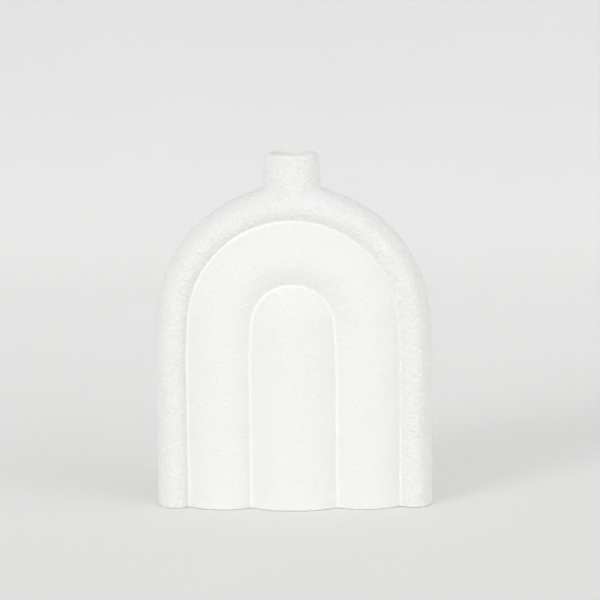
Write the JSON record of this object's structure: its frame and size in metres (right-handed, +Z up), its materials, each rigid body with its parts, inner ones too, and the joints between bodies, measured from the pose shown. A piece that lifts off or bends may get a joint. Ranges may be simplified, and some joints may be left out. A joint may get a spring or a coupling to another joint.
{
  "type": "arch vase",
  "caption": "Free-standing white matt ceramic vase in the shape of nested arches, with a short tube neck on top.",
  "frame": {"origin": "middle of the foot, on the surface that the vase stands on", "axes": "+Z up, +X along the vase's width, -Y towards its front"},
  "size_m": [0.1952, 0.0644, 0.25],
  "materials": {
    "matt_white_glaze": "matt, coarse stucco texture",
    "bare_clay": "unglazed, wiped smooth"
  },
  "bodies": {
    "root": {"outer_arch": "matt_white_glaze", "front_middle_arch": "matt_white_glaze", "front_centre_panel": "matt_white_glaze", "back_middle_arch": "matt_white_glaze", "back_centre_panel": "matt_white_glaze", "base_slab": "bare_clay", "neck": "matt_white_glaze"}
  },
  "joints": []
}
